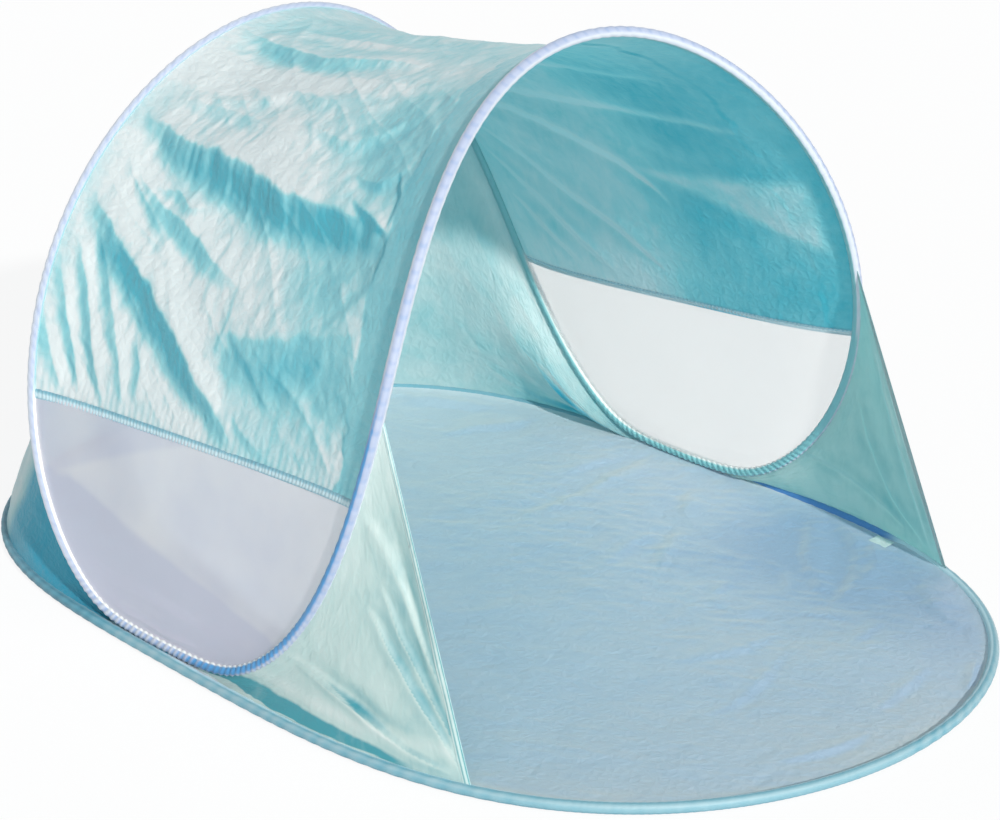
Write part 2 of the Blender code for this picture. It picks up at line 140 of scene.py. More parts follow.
def through(knots, station):
    """A smooth rising curve through (station, angle) knots, the same on both sides of 0."""
    x, y = (np.array(part, float) for part in zip(*knots))
    slope = np.diff(y) / np.diff(x)
    inner = 2 * slope[1:] * slope[:-1] / (slope[1:] + slope[:-1])
    bend = np.concatenate([slope[:1], inner, slope[-1:]])
    place = np.abs(station)
    at = np.clip(np.searchsorted(x, place, side="right") - 1, 0, len(x) - 2)
    run = x[at + 1] - x[at]
    u = (place - x[at]) / run
    value = y[at] * (1 + 2 * u) * (1 - u) ** 2 + bend[at] * run * u * (1 - u) ** 2
    value = value + y[at + 1] * u * u * (3 - 2 * u) + bend[at + 1] * run * u * u * (u - 1)
    return np.sign(station) * value


def front_arch(station):
    return through(((0, 0), (9, 0.812), (11, 0.95), (18, math.pi / 2)), station)


def rear_arch(station):
    return math.pi - through(((0, 0), (11, 0.863), (18, math.pi / 2)), station)


def front_rim(station):
    return through(((0, 0), (9, 0.798), (16, 1.365), (18, math.pi / 2)), station)


def rear_rim(station):
    return math.pi - through(((0, 0), (16, 1.375), (18, math.pi / 2)), station)


def ruled(first, t1, second, t2, across, turned, inside):
    """Points and outward normals of the cloth sewn between two curves at paired angles.

    turned is -1 where the angles of the two curves run against each other.
    """
    a, b = first(t1), second(t2)
    heading_a, heading_b = heading(first, t1), heading(second, t2)
    gap = b - a
    start = a + unit(gap - heading_a * dot(gap, heading_a)) * SEWN
    end = b - unit(gap - heading_b * dot(gap, heading_b)) * SEWN
    across = across[..., None]
    along = heading_a * (1 - across) + turned * heading_b * across
    point = start * (1 - across) + end * across
    normal = unit(np.cross(along, end - start))
    return point, normal * np.sign(dot(normal, point - np.array(inside)).mean())


def canopy(station, across):
    angles = front_arch(station), rear_arch(station)
    point, normal = ruled(hoop, angles[0], hoop, angles[1], across, -1, (0.0, 0.1135, 0.35))
    share = 1 - (np.abs(station) / QUARTER) ** 2
    profile = 1 - (1 - 4 * across * (1 - across)) ** 2
    return point, normal, -CANOPY_SAG * share * profile


def rear_wall(station, across):
    angles = rear_arch(station), rear_rim(station)
    point, normal = ruled(hoop, angles[0], rim, angles[1], across, 1, (0.0, 0.3, 0.1))
    lift = -REAR_WALL_SAG * 4 * across * (1 - across) * (1 - (station / QUARTER) ** 2)
    slack = smooth(np.abs(station), 6.5, 11.5) * rise(17.0 - np.abs(station), 3.5)
    lift = lift - 0.03 * slack * (4 * across * (1 - across)) ** 1.5
    return point, normal, lift


def gusset(side, station, across):
    """Across 0 is at the rim and 1 at the front arch."""
    angles = front_rim(side * station), front_arch(side * station)
    point, normal = ruled(rim, angles[0], hoop, angles[1], across, 1, (0.0, -0.1, 0.2))
    lift = -GUSSET_SAG * 4 * across * (1 - across) * np.clip((station - GUSSET_EDGE) * 1.5, 0, 1)
    return point, normal, lift


# Noise and folds


def smooth(value, low=0.0, high=1.0):
    """0 below low, 1 above high and a soft step between."""
    value = np.clip((value - low) / (high - low), 0, 1)
    return value * value * (3 - 2 * value)


def rise(value, width):
    return smooth(value, 0.0, width)


def bell(value, width):
    """1 at 0, falling off on both sides."""
    return np.exp(-((value / width) ** 2))


def noise(x, y, seed):
    """Smooth noise from -1 to 1, with features about one unit wide."""
    table = np.random.default_rng(seed).uniform(-1, 1, (64, 64))
    xi, yi = np.floor(x).astype(int), np.floor(y).astype(int)
    u, v = smooth(x - xi), smooth(y - yi)
    low = table[xi % 64, yi % 64] * (1 - u) + table[(xi + 1) % 64, yi % 64] * u
    high = table[xi % 64, (yi + 1) % 64] * (1 - u) + table[(xi + 1) % 64, (yi + 1) % 64] * u
    return low * (1 - v) + high * v


def creases(x, y, seed, octaves=3):
    """Sharp ridges where a noise crosses 0, from 0 to 1, each octave half as large and twice as fine."""
    total, weight = 0.0, 1.0
    for octave in range(octaves):
        scale = 2.0**octave
        ridge = 1 - np.abs(noise(x * scale + 7.3 * octave, y * scale - 3.1 * octave, seed + octave))
        total = total + weight * ridge**3
        weight *= 0.5
    return total / 1.75


def facets(x, y, seed):
    """Crumpled cloth: flat facets between straight creases, from 0 to about 1."""
    jitter = np.random.default_rng(seed).uniform(0.05, 0.95, (64, 64, 2))
    xi, yi = np.floor(x).astype(int), np.floor(y).astype(int)
    near = second = np.full(x.shape, 9.0)
    for dx in (-1, 0, 1):
        for dy in (-1, 0, 1):
            cell = jitter[(xi + dx) % 64, (yi + dy) % 64]
            gap = np.hypot(xi + dx + cell[..., 0] - x, yi + dy + cell[..., 1] - y)
            second = np.where(gap < near, near, np.minimum(second, gap))
            near = np.minimum(near, gap)
    return second - near


def rounded_line(points, count=40):
    """A line through points with its corners rounded off."""
    run = running(np.hypot(*np.diff(points, axis=0).T))
    spots = np.linspace(0, run[-1], count)
    line = column(*(np.interp(spots, run, axis) for axis in points.T))
    for _ in range(5):
        line[1:-1] = (line[:-2] + 2 * line[1:-1] + line[2:]) / 4
    return line, run[-1]


def fold_lift(x, y, folds, placed=lambda u, v: (u / 1000, v / 1000)):
    """Folds of slack cloth. Each rises to a crest along its line and drops on the line's right-hand side.

    A fold is the points of its line, half its height and the widths of its way up, its drop and its way
    back in millimetres, and how much painted shade lies on its drop, painted light below 0. placed turns
    the points into metres. The heights and the painted shade come back.
    """
    total, painted_shade = np.zeros(x.shape), np.zeros(x.shape)
    for points, *sizes, deeper in folds:
        line, length = rounded_line(column(*placed(*np.array(points).T)))
        height, climb, drop, back = np.array(sizes) / 1000
        reach = max(2.2 * climb, drop + 2.2 * back)
        low, high = line.min(0) - reach, line.max(0) + reach
        near = (x > low[0]) & (x < high[0]) & (y > low[1]) & (y < high[1])
        px, py = x[near], y[near]
        best = np.full(px.shape, 9.0)
        signed, place = np.zeros(px.shape), np.zeros(px.shape)
        for step, (start, run) in enumerate(zip(line, np.diff(line, axis=0))):
            dx, dy = px - start[0], py - start[1]
            share = np.clip((dx * run[0] + dy * run[1]) / (run**2).sum(), 0, 1)
            gap = np.hypot(dx - share * run[0], dy - share * run[1])
            nearer = gap < best
            signed = np.where(nearer, gap * np.sign(run[1] * dx - run[0] * dy), signed)
            place = np.where(nearer, (step + share) / (len(line) - 1), place)
            best = np.minimum(best, gap)
        signed += 0.07 * drop * noise(place * length / 0.035, 0 * place, 5)
        signed += 0.025 * drop * noise(place * length / 0.011, 0 * place, 6)
        taper = np.sin(math.pi * place) ** 0.7
        thin = 0.35 + 0.65 * taper
        across = signed / (drop * thin)
        shape = np.exp(-(np.abs(signed / (climb * thin)) ** 1.7))
        shape = np.where(across < 0, shape, np.cos(math.pi * np.clip(across, 0, 1) ** 0.8))
        beyond = np.maximum(signed - drop * thin, 0)
        shape = np.where(across > 1, -bell(beyond, back * thin), shape)
        beside = (place > 0) & (place < 1)
        total[near] += height * taper * shape * beside
        painted_shade[near] += deeper * taper * rise(across, 0.15) * (1 - smooth(across, 0.5, 1.25)) * beside
    return total, painted_shade


# Meshes


def linked(name, data):
    """A new object in the scene."""
    obj = bpy.data.objects.new(name, data)
    bpy.context.scene.collection.objects.link(obj)
    return obj


def grid_mesh(name, points, uvs=None, shades=None, ring=False, tube=False, more=()):
    """A grid of points as a mesh. ring joins the last row to the first, tube the last column to the first."""
    rows, columns = points.shape[:2]
    index = np.arange(rows * columns).reshape(rows, columns)
    if ring:
        index = np.concatenate([index, index[:1]])
    if tube:
        index = np.concatenate([index, index[:, :1]], axis=1)
    quads = np.stack([index[:-1, :-1], index[1:, :-1], index[1:, 1:], index[:-1, 1:]], -1)
    count = quads.size // 4
    mesh = bpy.data.meshes.new(name)
    mesh.vertices.add(rows * columns)
    mesh.vertices.foreach_set("co", points.astype(np.float32).ravel())
    mesh.loops.add(count * 4)
    mesh.loops.foreach_set("vertex_index", quads.ravel().astype(np.int32))
    mesh.polygons.add(count)
    mesh.polygons.foreach_set("loop_start", np.arange(0, count * 4, 4, dtype=np.int32))
    mesh.update(calc_edges=True)
    mesh.shade_smooth()
    if uvs is not None:
        spots = uvs.reshape(-1, 2)[quads.reshape(-1, 4)].astype(np.float32)
        if ring or tube:
            reach = uvs.reshape(-1, 2).max(0) * 0.5
            for axis in (0, 1):
                wraps = spots[..., axis].max(1) - spots[..., axis].min(1) > reach[axis]
                low = spots[..., axis] < reach[axis]
                spots[..., axis] += np.where(wraps[:, None] & low, 2 * reach[axis], 0)
        layer = mesh.uv_layers.new(name="cloth")
        layer.data.foreach_set("uv", spots.ravel())
    for key, values in {"shade": shades, **dict(more)}.items():
        if values is not None:
            attribute = mesh.attributes.new(key, "FLOAT", "POINT")
            attribute.data.foreach_set("value", np.clip(values, 0, 1).astype(np.float32).ravel())
    return linked(name, mesh)


def arc_uvs(points):
    """Distances along and across a grid of points, in metres, for threads and stitches of a real size."""
    rows = np.linalg.norm(np.diff(points, axis=0), axis=-1).mean(1)
    columns = np.linalg.norm(np.diff(points, axis=1), axis=-1).mean(0)
    return column(running(rows)[:, None], running(columns)[None, :])


def normals_of(points):
    return unit(np.cross(np.gradient(points, axis=0), np.gradient(points, axis=1)))


def relief(points, plain, lift, spread, lean):
    """Painted light and shade: 0 where creased cloth stands proud or faces the light, 1 in its hollows."""
    outward = np.sign((normals_of(plain) * (plain - np.array([0.0, 0.1, 0.3]))).sum(-1).mean())
    turned = ((normals_of(points) - normals_of(plain)) * outward * PAINTED_LIGHT_FROM).sum(-1)
    return np.clip(0.5 - lift / (2 * spread) - lean * turned, 0, 1)


# Materials
WHITE = (1.0, 1.0, 1.0, 1.0)


class Nodes:
    """A short way to write the node tree of a material or a world."""

    def __init__(self, owner):
        self.owner = owner
        owner.use_nodes = True
        self.tree = owner.node_tree
        self.tree.nodes.clear()

    def add(self, kind, inputs=(), **settings):
        node = self.tree.nodes.new("ShaderNode" + kind)
        for key, value in settings.items():
            setattr(node, key, value)
        for key, value in dict(inputs).items():
            if isinstance(value, bpy.types.NodeSocket):
                self.tree.links.new(value, node.inputs[key])
            else:
                node.inputs[key].default_value = value
        return node

    def attribute(self, name):
        return self.add("Attribute", attribute_name=name).outputs["Fac"]

    def surface(self):
        """The cloth's own distances, its place on the object and the tone it was given."""
        uv = self.add("UVMap", uv_map="cloth").outputs[0]
        place = self.add("TexCoord").outputs["Object"]
        return uv, place, self.attribute("shade")

    def scaled(self, source, scale):
        return self.add("Mapping", {"Vector": source, "Scale": scale}).outputs[0]

    def noise(self, vector, scale, detail, roughness=0.55, distortion=0.0, **settings):
        inputs = {"Vector": vector, "Scale": scale, "Detail": detail, "Roughness": roughness}
        return self.add("TexNoise", {**inputs, "Distortion": distortion}, **settings).outputs["Fac"]

    def math(self, operation, first, second=0.0):
        return self.add("Math", {0: first, 1: second}, operation=operation).outputs[0]

    def span(self, value, low, high, to_low=0.0, to_high=1.0):
        inputs = {"Value": value, "From Min": low, "From Max": high, "To Min": to_low, "To Max": to_high}
        return self.add("MapRange", inputs, clamp=True).outputs["Result"]

    def mix(self, share, *colours):
        """Two colours mixed, each a socket or three numbers."""
        first, second = (c if isinstance(c, bpy.types.NodeSocket) else (*c, 1.0) for c in colours)
        return self.add("Mix", {0: share, 6: first, 7: second}, data_type="RGBA").outputs[2]

    def bump(self, height, distance, strength, normal=None):
        inputs = {"Height": height, "Distance": distance, "Strength": strength}
        if normal is not None:
            inputs["Normal"] = normal
        return self.add("Bump", inputs).outputs[0]

    def cloth(self, colour, roughness, normal, sheen, more=()):
        inputs = {"Base Color": colour, "Roughness": roughness, "Normal": normal, "Sheen Weight": sheen}
        return self.add("BsdfPrincipled", {**inputs, **dict(more)})

    def both(self, share, first, second):
        return self.add("MixShader", {0: share, 1: first.outputs[0], 2: second.outputs[0]})

    def seen(self):
        """1 for a ray from the camera, off a gloss or through a clear part, 0 for one that lights cloth."""
        path = self.add("LightPath").outputs
        either = self.math("MAXIMUM", path["Is Camera Ray"], path["Is Glossy Ray"])
        return self.math("MAXIMUM", either, path["Is Transmission Ray"])

    def finish(self, shader, kind="OutputMaterial"):
        self.add(kind, {"Surface": shader.outputs[0]})
        return self.owner


def weave_height(nodes, uv, pitch):
    """Two sets of threads that cross, as a height from -0.5 to 0.5."""
    axes = nodes.add("SeparateXYZ", {0: uv}).outputs
    waves = (nodes.math("SINE", nodes.math("MULTIPLY", axes[k], math.tau / pitch)) for k in (0, 1))
    return nodes.math("MULTIPLY", nodes.math("ADD", *waves), 0.25)


def cloth_material(name, light, middle, deep, back, see_through, gloss=0.42, crinkle=1.0, mottle=1.0):
    """Thin polyester: crinkled, with a soft gloss, and lit from behind by what falls on its other side."""
    nodes = Nodes(bpy.data.materials.new(name))
    uv, place, shade = nodes.surface()
    cloudy = nodes.noise(place, 5.0, 4.0)
    patch = nodes.noise(nodes.scaled(place, (1.0, 1.0, 0.6)), 24.0, 3.0, 0.6, 0.8)
    tone = nodes.math("ADD", shade, nodes.span(cloudy, 0.3, 0.7, -0.1 * mottle, 0.1 * mottle))
    tone = nodes.math("ADD", tone, nodes.span(patch, 0.3, 0.7, -0.07 * mottle, 0.07 * mottle))
    colour = nodes.mix(nodes.span(tone, 0.18, 0.52), light, middle)
    colour = nodes.mix(nodes.span(tone, 0.52, 0.95), colour, deep)
    lines = nodes.noise(uv, 18.0, 5.0, 0.6, 0.8, noise_type="RIDGED_MULTIFRACTAL")
    cells = {"Vector": uv, "Scale": 60.0}
    crush = nodes.add("TexVoronoi", cells, feature="DISTANCE_TO_EDGE").outputs["Distance"]
    threads = weave_height(nodes, uv, 0.0011)
    normal = nodes.bump(lines, 0.003 * crinkle, 0.8)
    normal = nodes.bump(nodes.span(crush, 0.0, 0.35), 0.0009 * crinkle, 0.6, normal)
    normal = nodes.bump(threads, 0.00008, 0.6, normal)
    rough = nodes.span(nodes.noise(uv, 120.0, 2.0), 0.2, 0.8, gloss - 0.06, gloss + 0.1)
    soft_gloss = {"Specular IOR Level": 0.85, "Sheen Roughness": 0.45}
    front = nodes.cloth(colour, rough, normal, 0.25, soft_gloss)
    behind = nodes.add("BsdfTranslucent", {"Color": (*back, 1.0), "Normal": normal})
    return nodes.finish(nodes.both(see_through, front, behind))


def window_material(name, light, deep, open_share):
    """Fine netting: part of what is behind it shows through."""
    nodes = Nodes(bpy.data.materials.new(name))
    uv, place, shade = nodes.surface()
    tone = nodes.math("ADD", nodes.noise(place, 5.0, 3.0), nodes.span(shade, 0.3, 1.0, -0.2, 0.6))
    colour = nodes.mix(nodes.span(tone, 0.25, 0.95), light, deep)
    net = weave_height(nodes, uv, 0.0013)
    normal = nodes.bump(net, 0.0002, 0.8)
    front = nodes.cloth(colour, 0.55, normal, 0.3)
    behind = nodes.add("BsdfTranslucent", {"Color": (*light, 1.0)})
    clear = nodes.add("BsdfTransparent", {"Color": WHITE})
    holes = nodes.span(net, -0.5, 0.5, open_share + 0.1, open_share - 0.1)
    return nodes.finish(nodes.both(holes, nodes.both(0.35, front, behind), clear))


def binding_material(name, light, middle, deep, lining, lining_deep):
    """Folded tape: shade 0 is its bright edge, 0.5 its middle, and 1 the deep blue of the painted shade in
    its puckers.

    On the side that faces into the tent the tape is covered by the cloth that is sewn to it, its lining.
    """
    nodes = Nodes(bpy.data.materials.new(name))
    uv, place, shade = nodes.surface()
    speckle = nodes.noise(place, 45.0, 3.0)
    tone = nodes.math("ADD", shade, nodes.span(speckle, 0.3, 0.7, -0.05, 0.05))
    colour = nodes.mix(nodes.span(tone, 0.0, 0.5), light, middle)
    colour = nodes.mix(nodes.span(tone, 0.5, 1.0), colour, deep)
    covering = nodes.mix(nodes.attribute("deeper"), lining, lining_deep)
    colour = nodes.mix(nodes.attribute("covered"), colour, covering)
    threads = weave_height(nodes, uv, 0.0009)
    ribs = nodes.noise(nodes.scaled(uv, (1.0, 3.0, 1.0)), 260.0, 2.0)
    normal = nodes.bump(threads, 0.0001, 0.7, nodes.bump(ribs, 0.0003, 0.5))
    front = nodes.cloth(colour, 0.5, normal, 0.2)
    behind = nodes.add("BsdfTranslucent", {"Color": (*middle, 1.0)})
    return nodes.finish(nodes.both(0.12, front, behind))


def steel_material(name):
    nodes = Nodes(bpy.data.materials.new(name))
    grain = nodes.noise(nodes.add("TexCoord").outputs["Object"], 900.0, 3.0)
    colour = nodes.mix(nodes.span(grain, 0.3, 0.7), (0.36, 0.37, 0.39), (0.5, 0.51, 0.53))
    rough = nodes.span(grain, 0.2, 0.8, 0.28, 0.42)
    inputs = {"Base Color": colour, "Roughness": rough, "Metallic": 0.95}
    return nodes.finish(nodes.add("BsdfPrincipled", inputs))


# Colours of each cloth: painted light on its lit folds, between, painted shade in its hollows, and of the
# light that comes through it
roof_material = cloth_material(
    "roof_polyester", (0.96, 0.99, 0.98), (0.4, 0.79, 0.83), (0.07, 0.49, 0.61), (0.02, 0.38, 0.45),
    see_through=0.34,
)
wall_material = cloth_material(
    "wall_polyester", (0.84, 0.89, 0.86), (0.44, 0.68, 0.69), (0.01, 0.33, 0.5), (0.03, 0.4, 0.46),
    see_through=0.36,
)
gusset_material = cloth_material(
    "gusset_polyester", (0.84, 0.87, 0.84), (0.64, 0.75, 0.72), (0.05, 0.3, 0.38), (0.06, 0.5, 0.48),
    see_through=0.36, crinkle=0.6,
)
hem_material = cloth_material(
    "hem_polyester", (0.64, 0.78, 0.76), (0.42, 0.62, 0.62), (0.05, 0.28, 0.32), (0.2, 0.56, 0.56),
    see_through=0.12,
)
band_material = cloth_material(
    "seam_polyester", (0.56, 0.74, 0.8), (0.3, 0.54, 0.63), (0.1, 0.32, 0.42), (0.05, 0.3, 0.36),
    see_through=0.15,
)
sheet_material = cloth_material(
    "groundsheet_polyester", (0.5, 0.58, 0.62), (0.38, 0.5, 0.6), (0.25, 0.38, 0.53), (0.3, 0.45, 0.6),
    see_through=0.0, gloss=0.5, crinkle=0.9, mottle=0.4,
)
left_window = window_material("window_net_left", (0.98, 0.9, 0.9), (0.68, 0.62, 0.76), 0.2)
right_window = window_material("window_net_right", (0.96, 0.95, 0.93), (0.88, 0.88, 0.86), 0.5)

# Colours of each tape: its bright edge, its middle and its painted shade in puckers, then its lining, pale
# and deep; the aqua lining's deep blue is a painted shadow
white_tape = binding_material(
    "white_tape", (0.68, 0.73, 0.8), (0.4, 0.47, 0.64), (0.06, 0.28, 0.58),
    lining=(0.9, 0.92, 0.9), lining_deep=(0.26, 0.6, 0.62),
)
aqua_tape = binding_material(
    "aqua_tape", (0.32, 0.5, 0.56), (0.1, 0.34, 0.44), (0.02, 0.16, 0.24),
    lining=(0.56, 0.8, 0.88), lining_deep=(0.08, 0.26, 0.6),
)
steel = steel_material("spring_steel")

# Pieces


def dress(obj, material, slot, *nodes):
    """Give a piece its material, hide the nodes it stands for and bake its transform."""
    obj.data.materials.append(material)
    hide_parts(*nodes)
    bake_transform(obj)
    return obj


def tube_points(curve, middle, steps, sides, radius_at):
    """A tube round a closed curve, with its distances along and round it and the curve's angles.

    radius_at gives the radius from the distance along the curve, the angle round the tube, the curve's
    angle and the curve's whole length.
    """
    fine = np.linspace(0, math.tau, 4001)
    lengths = running(np.linalg.norm(np.diff(curve(fine), axis=0), axis=1))
    t = np.interp(np.arange(steps) / steps * lengths[-1], lengths, fine)
    centre, tangent = curve(t), heading(curve, t)
    out = centre - np.array(middle)
    out = unit(out - tangent * dot(out, tangent))
    side = np.cross(tangent, out)
    run = np.arange(steps)[:, None] / steps * lengths[-1]
    turn = (np.arange(sides) / sides * math.tau)[None, :]
    radius = radius_at(run, turn, t[:, None], lengths[-1])
    ring = out[:, None, :] * np.cos(turn)[..., None] + side[:, None, :] * np.sin(turn)[..., None]
    uvs = column(run, turn * BINDING_RADIUS)
    return centre[:, None, :] + ring * radius[..., None], uvs, t[:, None]


def along_and_round(uvs):
    """The distances along a tube, the angles round it and its length, from its distances."""
    return uvs[:, :1, 0], uvs[:1, :, 1] / BINDING_RADIUS, uvs[-1, 0, 0]


def pucker(run, whole, pitch, lean, seed):
    """Slanting puckers round a tape, from 0 to 1, with an uneven pitch. They close up round the loop."""
    phase = run / whole * math.tau * round(whole / pitch)
    drift = noise(run / 0.05, 0 * run, seed) * 1.6 + noise(run / 0.17, 0 * run, seed + 1)
    fade = rise(run, 0.1) * rise(whole - run, 0.1)
    return 0.5 + 0.5 * np.sin(phase + lean + drift * fade)


def turn_about(turn, middle):
    """Angles round a tube, measured both ways from a middle."""
    return np.angle(np.exp(1j * (turn - middle)))


def low_share(t):
    """1 along the low bends beside the floor, 0 at the crowns."""
    return smooth(np.abs(np.sin(t)), 0.9, 0.985)


def facing(curve, points, t, target):
    """How far each place on a tube faces a target in the tent, from -1 to 1, and the way it faces."""
    centre = curve(t[:, 0])[:, None]
    way = unit(points - centre)
    return (way * unit(np.array(target) - centre)).sum(-1), way


def hoop_puckers(run, turn, t, whole):
    """The low bends of the hoop's tape, its wide puckers and the dense ones of the low bends."""
    wide = pucker(run, whole, 0.022, 3.0 * np.cos(turn), 11)
    return low_share(t), wide, pucker(run, whole, 0.0145, 3.2 * np.sin(turn), 15)


def hoop_radius(run, turn, t, whole):
    low, wide, dense = hoop_puckers(run, turn, t, whole)
    depth = 0.0009 * (1 - low) * (0.35 + 0.65 * smooth(noise(run / 0.2, turn * 0, 4), -0.4, 0.7))
    radius = BINDING_RADIUS - depth * (1 - wide) ** 1.5 - 0.002 * low * (1 - dense) ** 1.3
    return radius - 0.001 * bell(np.abs(turn_about(turn, math.pi)) - 0.75, 0.16)


def hoop_shade(points, uvs, t):
    """The tone of the hoop's tape, where the cloth sewn to it covers it, and where that cloth is teal."""
    run, turn, whole = along_and_round(uvs)
    low, wide, dense = hoop_puckers(run, turn, t, whole)
    inward, way = facing(hoop, points, t, (0.0, 0.2, 0.3))
    x, y, z = points.transpose(2, 0, 1)
    front = smooth(FOLD_Y - y, -0.03, 0.06)
    flat = (0.5 - 0.5 * np.abs(np.cos(turn)) ** 1.5) * (1 - front)
    flat = flat + 0.56 * smooth(-inward, 0.5, 0.85) * front
    # Painted shade in the hollows of the puckers, deepest in the dense ones of the low bends
    shade = (0.8 * flat + 0.22 * smooth(1 - wide, 0.6, 1.0) * flat) * (1 - low)
    shade = shade + low * (0.1 + 0.6 * (1 - dense) ** 1.4)
    # Painted shade on the side of the front limbs' tape that faces away from the mouth, low down
    rearward = way[..., 0] * np.sign(x) * 0.6 + way[..., 1] * 0.8
    front_low = smooth(FOLD_Y - y, -0.05, 0.08) * rise(0.62 - z, 0.2)
    shade = shade + 0.95 * smooth(rearward, 0.1, 0.6) * front_low
    angle = np.abs(turn_about(t, 0.0))
    window = smooth(angle - WINDOW_ENDS[0], -0.02, 0.02) * smooth(WINDOW_ENDS[1] - angle, -0.02, 0.02)
    covered = smooth(inward, 0.26, 0.4)
    covered = covered + (smooth(inward, -0.15, 0.0) - covered) * window
    pane = column(np.sign(x) * WINDOW_MIDDLE[0], *WINDOW_MIDDLE[1:])
    to_pane = unit(pane - hoop(t[:, 0])[:, None])
    teal = 1 - window * smooth((way * to_pane).sum(-1), 0.66, 0.78)
    return shade, {"covered": covered, "deeper": teal}


def rim_puckers(run, turn, whole):
    """The wide puckers of the rim's tape, and where they are strong."""
    wide = pucker(run, whole, 0.034, 2.0 * np.cos(turn), 21)
    return wide, smooth(noise(run / 0.25, turn * 0, 9), -0.5, 0.6)


def rim_radius(run, turn, t, whole):
    wide, uneven = rim_puckers(run, turn, whole)
    fine = pucker(run, whole, 0.012, 1.4 * np.cos(turn), 25)
    return BINDING_RADIUS - 0.0006 * uneven * (1 - wide) ** 1.5 - 0.0003 * (1 - fine) * (1 - uneven)


def right_edge(x, y, start):
    """1 along the front half of the floor's right-hand edge, as far as the gusset."""
    return smooth(-y, start, start + 0.12) * rise(0.47 + y, 0.06) * rise(x, 0.1)


def rim_shade(points, uvs, t):
    """The tone of the rim's tape with its painted shade, where the groundsheet covers it, and where a painted
    shadow turns that deep blue.
    """
    run, turn, whole = along_and_round(uvs)
    wide, uneven = rim_puckers(run, turn, whole)
    x, y, _ = points.transpose(2, 0, 1)
    # Painted shade on the tape's underside, in its puckers and towards the rear, with a darker stripe past
    # its top and a paler one on its upper outer side
    under = smooth(np.sin(turn), 0.2, 0.9)
    stripe = bell(turn_about(turn, -1.9), 0.55) - 0.7 * bell(turn_about(turn, -0.75), 0.35)
    shade = 0.22 + 0.18 * uneven * (1 - wide) + 0.5 * under + 0.34 * stripe
    shade = shade + 0.5 * smooth(y, 0.1, 0.35)
    inner = smooth(facing(rim, points, t, (0.0, 0.0, 0.3))[0], 0.25, 0.5)
    behind = rise(y, 0.12)
    shade = shade + (0.3 - shade) * inner * behind
    # deeper: painted shadow of the gap under the gusset, along the floor's right front edge
    return shade, {"covered": inner * (1 - behind), "deeper": right_edge(x, y, 0.0)}


points, uvs, t = tube_points(hoop, (0.0, 0.113, 0.42), 2600, 24, hoop_radius)
shade, lining = hoop_shade(points, uvs, t)
hoop_binding = grid_mesh("hoop_binding", points, uvs, shade, ring=True, tube=True, more=lining)
dress(hoop_binding, white_tape, "white_binding", "canopy_sleeve_rear", "canopy_sleeve_front")

points, uvs, t = tube_points(rim, (0.0, 0.0, 0.009), 2100, 20, rim_radius)
shade, lining = rim_shade(points, uvs, t)
rim_binding = grid_mesh("rim_binding", points, uvs, shade, ring=True, tube=True, more=lining)
dress(rim_binding, aqua_tape, "aqua_binding", "floor_sleeve_rear", "floor_sleeve_front")

for name, curve, middle, nodes in (
    ("hoop_wire", hoop, (0.0, FOLD_Y, 0.489), ("canopy_wire_rear", "canopy_wire_front")),
    ("rim_wire", rim, (0.0, 0.0, 0.009), ("floor_wire_rear", "floor_wire_front")),
):
    points, uvs, _ = tube_points(curve, middle, 500, 8, lambda run, turn, *_: WIRE_RADIUS + 0 * run * turn)
    wire = grid_mesh(name, points, uvs, ring=True, tube=True)
    dress(wire, steel, "spring_steel", *nodes)

for name in ("canopy_wire_ferrule", "floor_wire_ferrule"):
    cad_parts[name].data.materials.clear()
    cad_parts[name].data.materials.append(steel)


